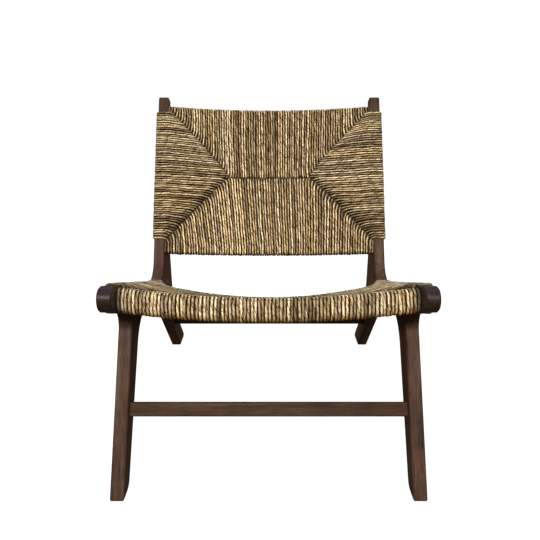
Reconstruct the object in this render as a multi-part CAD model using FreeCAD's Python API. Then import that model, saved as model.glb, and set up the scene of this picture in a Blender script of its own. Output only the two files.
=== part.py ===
import FreeCAD, Part
import math
import os

Vector = FreeCAD.Vector

# Low lounge chair: two mirrored plank side frames, joined by curved cross rails and by stretchers.
# The seat and the back are woven in twisted cord round the rails and posts.
# Lengths are in millimetres and angles in degrees.
# X runs across the chair, Y from front to rear, Z up from the floor.

# Side frames, each of four planks in one plane
frame_width = 628.0
plank_thickness = 28.0
arris_width = 2.4

# Seat side rail: stations run along its centre line from the centre of the rounded nose
rail_height = 50.0
rail_slope = 19.6
nose_height = 399.5
haunch_below = 10.0
haunch_above = 12.0

# Front leg
front_leg_station = 120.0
front_leg_head_width = 64.0
front_leg_front_rake = 28.8
front_leg_rear_rake = 32.6
front_leg_front_sweep = 40.0
front_leg_rear_sweep = 100.0
front_heel_radius = 28.0

# Rear leg, with a horn that stands behind the foot of the post
rear_leg_station = 426.3
rear_leg_width = 57.0
rear_leg_rake = 40.2
rear_leg_front_sweep = 380.0
rear_leg_rear_sweep = 220.0
rear_leg_tip_station = 430.0
rear_heel_radius = 9.0
toe_radius = 3.0
horn_back_distance = 523.0
horn_tip_height = 401.0
horn_blunting = 12.0
horn_joint_rake = 17.3
horn_sweep = 150.0

# Back post: it narrows towards its top
post_station = 417.4
post_length = 534.0
post_top_width = 29.0
post_rake = 27.08
post_front_sweep = 68.0
post_top_radius = 6.0

# Tenons and dowels in the side frames
tenon_thickness = 10.0
tenon_width = 38.0
tenon_length = 32.0
tenon_root = 5.0
tenon_clearance = 0.2
mortise_spare_depth = 1.0
front_leg_tenon_station = 145.0
post_tenon_station = 456.0
rear_leg_tenon_station = 456.0
dowel_diameter = 10.0
dowel_length = 36.0
dowel_clearance = 0.1
post_dowel_drop = 96.0
rail_dowel_drop = 169.0

# Curved cross rails inside the weave
seat_rail_thickness = 26.0
seat_rail_height = 39.0
seat_front_rail_station = 24.0
seat_front_rail_drop = 2.5
seat_front_rail_bow = 19.5
seat_rear_rail_station = 392.0
seat_rear_rail_drop = 2.5
seat_rear_rail_bow = 34.0
back_rail_thickness = 22.0
back_rail_setback = 9.0
back_rail_bow = 26.0
back_top_rail_height = 18.0
back_top_rail_drop = 38.0
back_bottom_rail_height = 34.0
back_bottom_rail_station = 105.0
cross_tenon_length = 16.0
cross_tenon_shoulder = 4.0

# Stretchers between the legs
stretcher_width = 29.0
stretcher_thickness = 20.0
stretcher_tenon_length = 18.0
stretcher_shoulder = 4.5
stretcher_arris = 2.0
front_stretcher_height = 142.5
rear_stretcher_height = 120.0

# Woven cord
cord_layer = 5.0
cord_arris = 3.5
soft_clearance = 0.3
seat_roll_radius = 13.0
back_roll_radius = 7.0
seat_waist = 5.0
back_waist = 3.5
apex_distance = 117.0
panel_sections = 9

# Working allowances
join_tolerance = 0.001
overrun = 20.0

outer_x = frame_width / 2
inner_x = outer_x - plank_thickness
middle_x = outer_x - plank_thickness / 2
half_rail = rail_height / 2
reach = frame_width + horn_back_distance + post_length


def heading(angle):
    """Unit direction in the side plane, as (y, z), at an angle above rearward."""
    return (math.cos(math.radians(angle)), math.sin(math.radians(angle)))


def moved(point, angle, distance):
    way = heading(angle)
    return (point[0] + way[0] * distance, point[1] + way[1] * distance)


def crossing(first, second):
    """The point where two lines cross, each given as a point and an angle."""
    (first_y, first_z), first_angle = first
    (second_y, second_z), second_angle = second
    ay, az = heading(first_angle)
    by, bz = heading(second_angle)
    distance = ((second_y - first_y) * bz - (second_z - first_z) * by) / (ay * bz - az * by)
    return moved(first[0], first_angle, distance)


def on_seat(station, rise):
    """Side-plane point at a station along the rail and a rise square to it."""
    return moved(moved((0, nose_height), -rail_slope, station), 90 - rail_slope, rise)


post_foot = on_seat(post_station, half_rail)
back_top_rail_station = post_length - back_top_rail_drop


def on_back(station, depth):
    """Side-plane point at a station up the post's front edge and a depth behind it."""
    return moved(moved(post_foot, 90 - post_rake, station), -post_rake, depth)


def level(height):
    """The level line at a height, as a point and an angle."""
    return ((0, height), 0)


rail_top = (on_seat(0, half_rail), -rail_slope)
rail_underside = (on_seat(0, -half_rail), 180 - rail_slope)
post_front = (post_foot, 90 - post_rake)
post_top_rear = on_back(post_length, post_top_width)
horn_tip = (horn_back_distance, horn_tip_height)
post_rear_angle = math.degrees(math.atan2(horn_tip[1] - post_top_rear[1], horn_tip[0] - post_top_rear[0]))
front_leg_front = (on_seat(front_leg_station, -half_rail), 90 - front_leg_front_rake)
front_leg_rear_head = on_seat(front_leg_station + front_leg_head_width, -half_rail)
front_leg_rear = (front_leg_rear_head, 270 - front_leg_rear_rake)
rear_leg_front = (on_seat(rear_leg_station, -half_rail), 90 + rear_leg_rake)
rear_leg_rear = (moved(rear_leg_front[0], rear_leg_rake, rear_leg_width), rear_leg_rake - 90)
sole = ((0, 0), 180)

# Edges of a side frame, clockwise: each line, and the radius of the corner at its end
SIDE_EDGES = [
    (rail_top, post_front_sweep),
    (post_front, post_top_radius),
    ((post_top_rear, -post_rake), post_top_radius),
    ((post_top_rear, post_rear_angle), horn_sweep),
    ((horn_tip, -90), rear_leg_rear_sweep),
    (rear_leg_rear, rear_heel_radius),
    (sole, toe_radius),
    (rear_leg_front, rear_leg_front_sweep),
    (rail_underside, front_leg_rear_sweep),
    (front_leg_rear, front_heel_radius),
    (sole, toe_radius),
    (front_leg_front, front_leg_front_sweep),
    (rail_underside, half_rail),
    ((on_seat(-half_rail, 0), 90 - rail_slope), half_rail),
]


def bend_between(first_angle, second_angle):
    """Signed turn from one heading to the next, positive to the left."""
    return (second_angle - first_angle + 180) % 360 - 180


def grown_corners(edges, growth):
    """Corners of a clockwise outline that is grown outwards, each with its radius."""
    lines = [(moved(point, angle + 90, growth), angle) for (point, angle), radius in edges]
    corners = []
    for index, (line, radius) in enumerate(edges):
        following = lines[(index + 1) % len(lines)]
        outward = growth if bend_between(line[1], following[1]) < 0 else -growth
        corners.append((crossing(lines[index], following), radius + outward))
    return corners


def rounded_wire(corners, x):
    """Closed wire in the plane at x, with a tangent arc at each corner that has a radius."""
    spans = []
    for index, (corner, radius) in enumerate(corners):
        before = corners[index - 1][0]
        after = corners[(index + 1) % len(corners)][0]
        angle_in = math.degrees(math.atan2(corner[1] - before[1], corner[0] - before[0]))
        angle_out = math.degrees(math.atan2(after[1] - corner[1], after[0] - corner[0]))
        turn = bend_between(angle_in, angle_out)
        tangent = radius * math.tan(math.radians(abs(turn) / 2))
        crown = radius / math.cos(math.radians(turn / 2)) - radius
        inward = angle_in + turn / 2 + math.copysign(90, turn)
        spans.append((moved(corner, angle_in, -tangent), moved(corner, inward, crown),
                      moved(corner, angle_out, tangent)))
    parts = []
    for index, (begin, middle, end) in enumerate(spans):
        last = spans[index - 1][2]
        if math.dist(last, begin) > join_tolerance:
            parts.append(Part.LineSegment(Vector(x, *last), Vector(x, *begin)).toShape())
        if math.dist(begin, end) > join_tolerance:
            parts.append(Part.Arc(Vector(x, *begin), Vector(x, *middle), Vector(x, *end)).toShape())
    return Part.Wire(parts)


def slab(corners, x_from, x_to):
    """Prism across the chair over an outline in the side plane."""
    return Part.Face(rounded_wire(corners, x_from)).extrude(Vector(x_to - x_from, 0, 0))


def sharp(*points):
    return [(point, 0) for point in points]


def box_corners(centre, angle, length, height, radius):
    """Corners of a rectangle whose length runs at an angle, clockwise."""
    corners = []
    for along, up in ((-1, 1), (1, 1), (1, -1), (-1, -1)):
        corners.append((moved(moved(centre, angle, along * length / 2), angle + 90, up * height / 2), radius))
    return corners


def eased(solid, width):
    """Chamfers the edges that bound the two flat faces of a prism."""
    edges = [edge for edge in solid.Edges if edge.BoundBox.XLength < join_tolerance]
    return solid.makeChamfer(width, edges)


def side_plate(growth, x_from, x_to, arris):
    return eased(slab(grown_corners(SIDE_EDGES, growth), x_from, x_to), arris)


def mirrored(shape):
    return shape.mirror(Vector(0, 0, 0), Vector(1, 0, 0))


def both_sides(shape):
    return [shape, mirrored(shape)]


# Joint lines inside the side frame
horn_joint = (horn_tip, 90 - horn_joint_rake)
low_shoulder = half_rail + haunch_below
high_shoulder = half_rail + haunch_above
low_line = (on_seat(0, -low_shoulder), -rail_slope)
high_line = (on_seat(0, high_shoulder), -rail_slope)
low_rear = crossing(low_line, horn_joint)
high_rear = crossing(high_line, horn_joint)
horn_top = crossing(horn_joint, level(horn_tip_height + horn_blunting))
legs_divide = on_seat((front_leg_station + front_leg_head_width + rear_leg_station) / 2, -low_shoulder)
rear_leg_tip = on_seat(rear_leg_tip_station, -low_shoulder)

front_leg_zone = sharp(on_seat(-reach, -low_shoulder), legs_divide, (legs_divide[0], -overrun),
                       (-reach, -overrun))
rear_leg_zone = sharp(rear_leg_tip, low_rear, horn_top, (reach, horn_top[1]), (reach, -overrun),
                      crossing((rear_leg_tip, 90 - rail_slope), level(-overrun)))
post_zone = sharp(high_rear, on_seat(-reach, high_shoulder), (reach, reach), (reach, horn_top[1]), horn_top)


def zone_slab(zone):
    return slab(zone, inner_x - overrun, outer_x + overrun)


def plank_tenon(station, shoulder, growth, spare):
    """Tenon at a station of the rail, from inside a shoulder line into the rail; or its mortise."""
    into = math.copysign(1, -shoulder)
    root = shoulder - into * tenon_root
    tip = shoulder + into * (tenon_length + spare)
    centre = on_seat(station, (root + tip) / 2)
    corners = box_corners(centre, -rail_slope, tenon_width + 2 * growth, abs(tip - root), 0)
    half = tenon_thickness / 2 + growth
    return slab(corners, middle_x - half, middle_x + half)


def horn_dowel(drop, growth, spare):
    """Dowel square to the horn joint at a drop below the horn's tip, or its hole."""
    centre = crossing(horn_joint, level(horn_tip_height - drop))
    length = dowel_length + 2 * spare
    start = moved(centre, -horn_joint_rake, -length / 2)
    way = heading(-horn_joint_rake)
    return Part.makeCylinder(dowel_diameter / 2 + growth, length, Vector(middle_x, *start), Vector(0, *way))


def bow_radius(bow):
    return (inner_x ** 2 + bow ** 2) / (2 * bow)


def bow_at(x, bow):
    """How far a bowed rail stands from its chord at x."""
    radius = bow_radius(bow)
    return math.sqrt(radius ** 2 - x ** 2) - (radius - bow)


def bowed_rail(centre, along_angle, bow_angle, width, height, bow, growth):
    """Bar sawn to an arc across the chair, its ends square to the side frames."""
    radius = bow_radius(bow)
    hub = moved(centre, bow_angle, bow - radius)
    near = moved(hub, along_angle, -width / 2 - growth)
    way = Vector(0, *heading(bow_angle))

    def on_arc(distance, x):
        return Vector(x, *near) + way * math.sqrt(distance ** 2 - x ** 2)

    inner = radius - height / 2 - growth
    outer = radius + height / 2 + growth
    corners = [on_arc(inner, -inner_x), on_arc(inner, inner_x),
               on_arc(outer, inner_x), on_arc(outer, -inner_x)]
    outline = Part.Wire([
        Part.Arc(corners[0], on_arc(inner, 0), corners[1]).toShape(),
        Part.LineSegment(corners[1], corners[2]).toShape(),
        Part.Arc(corners[2], on_arc(outer, 0), corners[3]).toShape(),
        Part.LineSegment(corners[3], corners[0]).toShape(),
    ])
    return Part.Face(outline).extrude(Vector(0, *heading(along_angle)) * (width + 2 * growth))


def end_tenon(centre, angle, width, height, length, growth, spare):
    """Tenon on the end of a cross member, from inside the end to its tip in the plank; or its mortise."""
    corners = box_corners(centre, angle, width + 2 * growth, height + 2 * growth, 0)
    return slab(corners, inner_x - tenon_root, inner_x + length + spare)


# Cross members: name, centre of the ends, angle of the width, angle of the bow, width, height and bow
CROSS_RAILS = [
    ("seat_front_rail", on_seat(seat_front_rail_station, -seat_front_rail_drop), -rail_slope,
     -90 - rail_slope, seat_rail_thickness, seat_rail_height, seat_front_rail_bow),
    ("seat_rear_rail", on_seat(seat_rear_rail_station, -seat_rear_rail_drop), -rail_slope,
     -90 - rail_slope, seat_rail_thickness, seat_rail_height, seat_rear_rail_bow),
    ("back_bottom_rail", on_back(back_bottom_rail_station, back_rail_setback + back_rail_thickness / 2),
     90 - post_rake, -post_rake, back_bottom_rail_height, back_rail_thickness, back_rail_bow),
    ("back_top_rail", on_back(back_top_rail_station, back_rail_setback + back_rail_thickness / 2),
     90 - post_rake, -post_rake, back_top_rail_height, back_rail_thickness, back_rail_bow),
]


def leg_middle(front, rear, height):
    """Middle of a leg's two edges at a height."""
    near = crossing(front, level(height))
    far = crossing(rear, level(height))
    return ((near[0] + far[0]) / 2, height)


# Stretchers: name, centre and the angle of the broad faces, which lie along the leg
STRETCHERS = [
    ("front_stretcher", leg_middle(front_leg_front, front_leg_rear, front_stretcher_height),
     90 - (front_leg_front_rake + front_leg_rear_rake) / 2),
    ("rear_stretcher", leg_middle(rear_leg_front, rear_leg_rear, rear_stretcher_height), 90 + rear_leg_rake),
]


def side_frame_pieces():
    """The four planks of the right side frame, before the cross members' mortises."""
    plate = side_plate(0, inner_x, outer_x, arris_width)
    front_leg = plate.common(zone_slab(front_leg_zone))
    rear_leg = plate.common(zone_slab(rear_leg_zone))
    post = plate.common(zone_slab(post_zone))
    rail = plate.cut([zone_slab(zone) for zone in (front_leg_zone, rear_leg_zone, post_zone)])
    front_leg = front_leg.fuse(plank_tenon(front_leg_tenon_station, -low_shoulder, 0, 0))
    rear_leg = rear_leg.fuse(plank_tenon(rear_leg_tenon_station, -low_shoulder, 0, 0))
    post = post.fuse(plank_tenon(post_tenon_station, high_shoulder, 0, 0))
    mortises = [plank_tenon(front_leg_tenon_station, -low_shoulder, tenon_clearance, mortise_spare_depth),
                plank_tenon(rear_leg_tenon_station, -low_shoulder, tenon_clearance, mortise_spare_depth),
                plank_tenon(post_tenon_station, high_shoulder, tenon_clearance, mortise_spare_depth)]
    holes = [horn_dowel(drop, dowel_clearance, mortise_spare_depth)
             for drop in (post_dowel_drop, rail_dowel_drop)]
    return {
        "seat_side_rail": rail.cut(mortises + holes),
        "front_leg": front_leg,
        "rear_leg": rear_leg.cut(holes),
        "back_post": post.cut(holes),
    }


def cross_mortises():
    """Mortises for all cross members, as cut into the right side frame."""
    shoulder = 2 * cross_tenon_shoulder
    cuts = []
    for name, centre, angle, bow_angle, width, height, bow in CROSS_RAILS:
        cuts.append(end_tenon(centre, angle, width - shoulder, height - shoulder, cross_tenon_length,
                              tenon_clearance, mortise_spare_depth))
    for name, centre, angle in STRETCHERS:
        cuts.append(end_tenon(centre, angle, stretcher_width - 2 * stretcher_shoulder,
                              stretcher_thickness - 2 * stretcher_shoulder, stretcher_tenon_length,
                              tenon_clearance, mortise_spare_depth))
    return cuts


def cross_rail(centre, angle, bow_angle, width, height, bow):
    shoulder = 2 * cross_tenon_shoulder
    bar = bowed_rail(centre, angle, bow_angle, width, height, bow, 0)
    tenon = end_tenon(centre, angle, width - shoulder, height - shoulder, cross_tenon_length, 0, 0)
    return bar.fuse(both_sides(tenon))


def stretcher(centre, angle):
    section = box_corners(centre, angle, stretcher_width, stretcher_thickness, stretcher_arris)
    tenon = end_tenon(centre, angle, stretcher_width - 2 * stretcher_shoulder,
                      stretcher_thickness - 2 * stretcher_shoulder, stretcher_tenon_length, 0, 0)
    return slab(section, -inner_x, inner_x).fuse(both_sides(tenon))


def sleeve(band):
    """Cord wrapped round a plank of the right side frame, within a band of the side plane."""
    lift = cord_layer + soft_clearance
    outer = side_plate(lift, inner_x - lift, outer_x + lift, cord_arris)
    core = side_plate(soft_clearance, inner_x - soft_clearance, outer_x + soft_clearance, arris_width)
    return outer.common(slab(band, inner_x - overrun, outer_x + overrun)).cut(core)


def side_share(x):
    """How far the cloth at x has gone from the apex of a side triangle to the plank, from 0 to 1."""
    return max(0, abs(x) - apex_distance) / (inner_x - apex_distance)


def post_width_at(station):
    front = on_back(station, 0)
    return math.dist(front, crossing((post_top_rear, post_rear_angle), (front, -post_rake)))


def seat_section(x):
    """Outline of the woven seat at x: rolls over the two rails, drawn in between them."""
    front = seat_front_rail_station - seat_rail_thickness / 2 - cord_layer
    rear = seat_rear_rail_station + seat_rail_thickness / 2 + cord_layer
    middle = (front + rear) / 2
    half = seat_rail_height / 2 + cord_layer
    front_centre = -seat_front_rail_drop - bow_at(x, seat_front_rail_bow)
    rear_centre = -seat_rear_rail_drop - bow_at(x, seat_rear_rail_bow)
    centre = (front_centre + rear_centre) / 2
    share = side_share(x)
    top = (centre + half - seat_waist) * (1 - share) + (half_rail + cord_layer) * share
    bottom = (centre - half + seat_waist) * (1 - share) - (half_rail + cord_layer) * share
    return [
        (on_seat(front, front_centre + half), seat_roll_radius),
        (on_seat(middle, top), 0),
        (on_seat(rear, rear_centre + half), seat_roll_radius),
        (on_seat(rear, rear_centre - half), seat_roll_radius),
        (on_seat(middle, bottom), 0),
        (on_seat(front, front_centre - half), seat_roll_radius),
    ]


def back_section(x):
    """Outline of the woven back at x: rolls over the two rails, drawn in between them."""
    shift = bow_at(x, back_rail_bow)
    front = back_rail_setback - cord_layer + shift
    rear = back_rail_setback + back_rail_thickness + cord_layer + shift
    low = back_bottom_rail_station - back_bottom_rail_height / 2 - cord_layer
    high = back_top_rail_station + back_top_rail_height / 2 + cord_layer
    middle = (low + high) / 2
    share = side_share(x)
    middle_front = (front + back_waist) * (1 - share) - cord_layer * share
    middle_rear = (rear - back_waist) * (1 - share) + (post_width_at(middle) + cord_layer) * share
    return [
        (on_back(low, front), back_roll_radius),
        (on_back(middle, middle_front), 0),
        (on_back(high, front), back_roll_radius),
        (on_back(high, rear), back_roll_radius),
        (on_back(middle, middle_rear), 0),
        (on_back(low, rear), back_roll_radius),
    ]


def woven_panel(section, band, rails):
    """Woven cloth of cord: a panel between the rails and a sleeve on each side, round the wood inside."""
    steps = panel_sections - 1
    stations = [(inner_x - soft_clearance) * (2 * index / steps - 1) for index in range(panel_sections)]
    panel = Part.makeLoft([rounded_wire(section(x), x) for x in stations], True, True)
    body = panel.fuse(both_sides(sleeve(band)))
    return body.cut([bowed_rail(*rail[1:], soft_clearance) for rail in rails])


seat_band = sharp(
    on_seat(seat_front_rail_station + seat_rail_thickness / 2, -half_rail - cord_layer),
    on_seat(seat_front_rail_station + seat_rail_thickness / 2, rail_height + overrun),
    on_seat(seat_rear_rail_station - seat_rail_thickness / 2, rail_height + overrun),
    on_seat(seat_rear_rail_station - seat_rail_thickness / 2, -half_rail - cord_layer),
)
back_band = sharp(
    on_back(back_bottom_rail_station + back_bottom_rail_height / 2, -overrun),
    on_back(back_top_rail_station - back_top_rail_height / 2, -overrun),
    on_back(back_top_rail_station - back_top_rail_height / 2, reach),
    on_back(back_bottom_rail_station + back_bottom_rail_height / 2, reach),
)


def build():
    pieces = {}
    mortises = cross_mortises()
    for name, shape in side_frame_pieces().items():
        finished = shape.cut(mortises)
        pieces[name + "_right"] = finished
        pieces[name + "_left"] = mirrored(finished)
    dowels = [horn_dowel(drop, 0, 0) for drop in (post_dowel_drop, rail_dowel_drop)]
    pieces["horn_dowels"] = Part.makeCompound(dowels + [mirrored(dowel) for dowel in dowels])
    for name, *sizes in CROSS_RAILS:
        pieces[name] = cross_rail(*sizes)
    for name, *sizes in STRETCHERS:
        pieces[name] = stretcher(*sizes)
    pieces["seat_weave"] = woven_panel(seat_section, seat_band, CROSS_RAILS[:2])
    pieces["back_weave"] = woven_panel(back_section, back_band, CROSS_RAILS[2:])
    return pieces


def main():
    os.makedirs("parts", exist_ok=True)
    pieces = build()
    extent = Part.makeCompound(list(pieces.values())).optimalBoundingBox(False, False)
    centre_y = (extent.YMin + extent.YMax) / 2
    for name, shape in pieces.items():
        placed = shape.copy()
        placed.translate(Vector(0, -centre_y, 0))
        placed.exportStep("parts/" + name + ".step")
        print(name, len(placed.Solids), placed.isValid(), round(placed.Volume))
    print("centre of the length behind the nose centre:", round(centre_y, 2))


main()
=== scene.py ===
import math

import bpy
import numpy as np
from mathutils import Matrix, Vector


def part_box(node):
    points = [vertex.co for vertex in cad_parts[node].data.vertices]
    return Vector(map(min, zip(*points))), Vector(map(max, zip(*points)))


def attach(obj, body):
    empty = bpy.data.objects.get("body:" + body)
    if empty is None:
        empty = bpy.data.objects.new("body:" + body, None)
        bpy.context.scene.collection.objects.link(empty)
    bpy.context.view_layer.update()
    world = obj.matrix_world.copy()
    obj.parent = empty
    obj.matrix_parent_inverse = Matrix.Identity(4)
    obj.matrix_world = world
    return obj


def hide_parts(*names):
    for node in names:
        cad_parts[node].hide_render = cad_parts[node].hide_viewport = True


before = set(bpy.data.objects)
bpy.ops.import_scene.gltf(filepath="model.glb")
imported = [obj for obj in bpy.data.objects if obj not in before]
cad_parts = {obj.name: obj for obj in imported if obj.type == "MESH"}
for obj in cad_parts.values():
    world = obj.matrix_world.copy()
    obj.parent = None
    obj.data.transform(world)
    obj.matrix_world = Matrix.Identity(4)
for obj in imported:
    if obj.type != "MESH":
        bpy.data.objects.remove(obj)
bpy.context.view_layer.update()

MM = 0.001
SEED = 71

# Side frames in millimetres and degrees, as in the solids
SLOPE_DEGREES = 19.6
RAKE_DEGREES = 27.08
SLOPE = math.radians(SLOPE_DEGREES)
RAKE = math.radians(RAKE_DEGREES)
NOSE_HEIGHT = 399.5
HALF_RAIL = 25.0
PLANK = 28.0
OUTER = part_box("seat_side_rail_right")[1][0] / MM
INNER = OUTER - PLANK
NOSE_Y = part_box("seat_side_rail_left")[0][1] / MM + HALF_RAIL
POST_STATION = 417.4
POST_SWEEP = 68.0
POST_SWEEP_START = POST_STATION - POST_SWEEP * math.tan((math.pi / 2 - RAKE + SLOPE) / 2)
SWEEP_LIMIT_SHARE = 0.98
FOOT_Y = POST_STATION * math.cos(SLOPE) + HALF_RAIL * math.sin(SLOPE) + NOSE_Y
FOOT_Z = NOSE_HEIGHT - POST_STATION * math.sin(SLOPE) + HALF_RAIL * math.cos(SLOPE)

# Post and horn: station up the post and depth behind its front edge, then how the depth grows below the tip
# and the stretch over which that change is rounded
POST_TOP = (534.0, 29.0)
HORN_TIP = (160.3, 54.4)
HORN_BELOW_SLOPE = 0.511
HORN_BLEND = 36.0

# Woven cord: half of its layer, and where the four triangles of a panel meet
CORD = 2.5
APEX = 117.0
EDGE_X = INNER - CORD
MARGIN = 1.0


def from_seat(x, v, w):
    """Points at station v along the seat and rise w above its centre line."""
    y = v * math.cos(SLOPE) + w * math.sin(SLOPE) + NOSE_Y
    z = NOSE_HEIGHT - v * math.sin(SLOPE) + w * math.cos(SLOPE)
    return np.stack([x, y, z], axis=-1) * MM


def from_back(x, v, w):
    """Points at station v up the post's front edge and w in front of it."""
    y = FOOT_Y + v * math.sin(RAKE) - w * math.cos(RAKE)
    z = FOOT_Z + v * math.cos(RAKE) + w * math.sin(RAKE)
    return np.stack([x, y, z], axis=-1) * MM


def bow_at(x, bow):
    """How far a bowed rail stands from its chord at x."""
    radius = (INNER ** 2 + bow ** 2) / (2 * bow)
    return np.sqrt(radius ** 2 - np.asarray(x, float) ** 2) - (radius - bow)


def rail_top(v):
    """Rise of the side rail's top edge: flat, then the sweep that leads up into the post."""
    into = np.clip(v - POST_SWEEP_START, 0, POST_SWEEP * SWEEP_LIMIT_SHARE)
    return HALF_RAIL + POST_SWEEP - math.sqrt(POST_SWEEP ** 2 - into ** 2)


def post_depth(v):
    """Depth of post and horn behind the post's front edge at station v."""
    tip, depth = HORN_TIP
    slope_above = (depth - POST_TOP[1]) / (POST_TOP[0] - tip)
    if v > tip + HORN_BLEND:
        return depth - (v - tip) * slope_above
    if v < tip - HORN_BLEND:
        return depth + (tip - v) * HORN_BELOW_SLOPE
    share = (v - tip + HORN_BLEND) / (2 * HORN_BLEND)
    low = depth + HORN_BLEND * HORN_BELOW_SLOPE
    high = depth - HORN_BLEND * slope_above
    return low * (1 - share) ** 2 + depth * 2 * share * (1 - share) + high * share ** 2


# Lean of straight strands from the rail inwards, as knots of x and slope
UPRIGHT = ((-INNER, -160, 0, 160, INNER), (0, 0.02, 0, -0.02, 0))
SKEWED = ((-INNER, -200, -60, 60, 200, INNER), (0, -0.13, -0.09, -0.03, 0.03, 0))

# Woven panels. Pairs are for end 0, the seat's front or the back's foot, and end 1, its rear or top.
# place turns x, station and rise into a point. rails, half_v and half_w are the stations and half sizes of
# the cross rails, centre is the rise of their ends and their bow, and roll the radius of the cord's bends.
# waist is how far each layer draws in halfway between the rails. sides is the band of side strands, and
# plank_top and plank_bottom are the edges of the plank that they go round. mitre is a mitre's gap to the
# plank and the power of its curve, hook how far straight strands bend outwards there, side_overlap how far
# side strands pass it, and the dips are how deep the ends of strands sink. softness is the power by which
# the painted shade darkens the flanks, gain and side_gain scale the colour of straight and side strands,
# ring_gains that of the side strands nearest to end 0, and underside is the range of the outward normal's
# rise over which a strand goes from the painted shade where it faces down to its full colour.
PANELS = [
    {
        "name": "seat",
        "place": from_seat,
        "rails": (24.0, 392.0),
        "half_v": (13.0, 13.0),
        "half_w": (19.5, 19.5),
        "centre": ((-2.5, 19.5), (-2.5, 34.0)),
        "roll": (13.5, 11.0),
        "waist": 5.0,
        "sides": (37.0, 379.0),
        "side_strands": 52,
        "corner_strands": (24, 24),
        "middle_strands": (34, 33),
        "plank_top": rail_top,
        "plank_bottom": lambda v: -HALF_RAIL,
        "mitre": ((4.0, 1.0), (4.0, 1.0)),
        "softness": 0.55,
        "gain": (0.89, 0.88),
        "side_gain": 0.74,
        "ring_gains": (0.50, 0.75, 0.90),
        "underside": (-0.5, 0.28),
        "hook": (3.5, 3.5),
        "side_overlap": 4.0,
        "straight_dip": (0.5, 1.5),
        "side_dip": (1.2, 2.0),
        "lean": (UPRIGHT, UPRIGHT),
    },
    {
        "name": "back",
        "place": from_back,
        "rails": (105.0, 496.0),
        "half_v": (17.0, 9.0),
        "half_w": (11.0, 11.0),
        "centre": ((-20.0, 26.0), (-20.0, 26.0)),
        "roll": (5.0, 5.0),
        "waist": 3.5,
        "sides": (122.0, 487.0),
        "side_strands": 56,
        "corner_strands": (24, 25),
        "middle_strands": (34, 33),
        "plank_top": lambda v: 0.0,
        "plank_bottom": lambda v: -post_depth(v),
        "mitre": ((3.0, 0.95), (9.0, 1.17)),
        "softness": 1.0,
        "gain": (1.24, 1.12),
        "side_gain": 0.99,
        "ring_gains": (),
        "underside": (-0.9, -0.2),
        "hook": (5.0, 3.0),
        "side_overlap": 2.5,
        "straight_dip": (2.2, 2.2),
        "side_dip": (4.5, 3.0),
        "lean": (SKEWED, UPRIGHT),
    },
]


# Where each layer of cord lies
def middle_of(panel):
    """Station halfway along the band of side strands."""
    return sum(panel["sides"]) / 2


def rail_centre(panel, end, x):
    """Rise of a cross rail's bowed centre line at x."""
    rise, bow = panel["centre"][end]
    return rise - bow_at(x, bow)


def layer(panel, x, v, side):
    """Rise of the straight layer's centre line at x and v; side is 1 for the face, -1 for the reverse."""
    v0, v1 = panel["rails"]
    low = rail_centre(panel, 0, x) + side * (panel["half_w"][0] + CORD)
    high = rail_centre(panel, 1, x) + side * (panel["half_w"][1] + CORD)
    share = (v - v0) / (v1 - v0)
    tent = np.clip(np.minimum(v - v0, v1 - v) / ((v1 - v0) / 2), 0, 1)
    return low + (high - low) * share - side * panel["waist"] * tent


def mitre_v(panel, distance, end):
    """Station where straight strands at a distance from the middle stop; end is 0 or 1."""
    start, power = panel["mitre"][end]
    middle = middle_of(panel)
    share = 1 - np.clip((distance - APEX) / (INNER - start - APEX), 0, 1) ** (1 / power)
    return panel["sides"][end] + (middle - panel["sides"][end]) * share


def mitre_x(panel, v):
    """Distance from the middle where the side strand at v stops."""
    middle = middle_of(panel)
    end = 0 if v < middle else 1
    start, power = panel["mitre"][end]
    share = np.clip(abs(v - panel["sides"][end]) / abs(middle - panel["sides"][end]), 0, 1)
    return APEX + (INNER - start - APEX) * (1 - share) ** power


# Paths of strands: steps in millimetres, the turning that counts as a bend and the points it spreads over,
# and the closely stepped stretch before each end
ARC_STEP = 0.8
STRAIGHT_STEP = 4.6
BENT_STEP = 2.4
BEND_LIMIT = 0.02
BEND_SPREAD = 5
END_REACH = 20.0
TANGENT_LIMIT_SHARE = 0.49
TINY = 1e-9
FEWEST_SAMPLES = 8
FEWEST_STEPS = 6
FEWEST_KNOTS = 4


def rounded(points, radius):
    """Polyline through the end points, with an arc at each corner between them."""
    points = [np.asarray(p, float) for p in points]
    out = [points[0]]
    for before, corner, after in zip(points, points[1:], points[2:]):
        a = before - corner
        b = after - corner
        length_a = np.linalg.norm(a)
        length_b = np.linalg.norm(b)
        a /= length_a
        b /= length_b
        half = math.acos(np.clip(a @ b, -1, 1)) / 2
        longest = min(length_a * TANGENT_LIMIT_SHARE, length_b * TANGENT_LIMIT_SHARE)
        tangent = min(radius / math.tan(half), longest)
        r = tangent * math.tan(half)
        centre = corner + (a + b) / np.linalg.norm(a + b) * (r / math.sin(half))
        start = corner + a * tangent - centre
        sweep = math.pi - 2 * half
        normal = (corner + b * tangent - centre) - start * math.cos(sweep)
        normal = normal / max(np.linalg.norm(normal), TINY) * r
        count = max(2, int(r * sweep / ARC_STEP))
        for angle in np.linspace(0, sweep, count + 1):
            out.append(centre + start * math.cos(angle) + normal * math.sin(angle))
    out.append(points[-1])
    return np.array(out)


def distances(path):
    """Distance along a polyline at each of its points."""
    return np.concatenate([[0], np.cumsum(np.linalg.norm(np.diff(path, axis=0), axis=1))])


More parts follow.
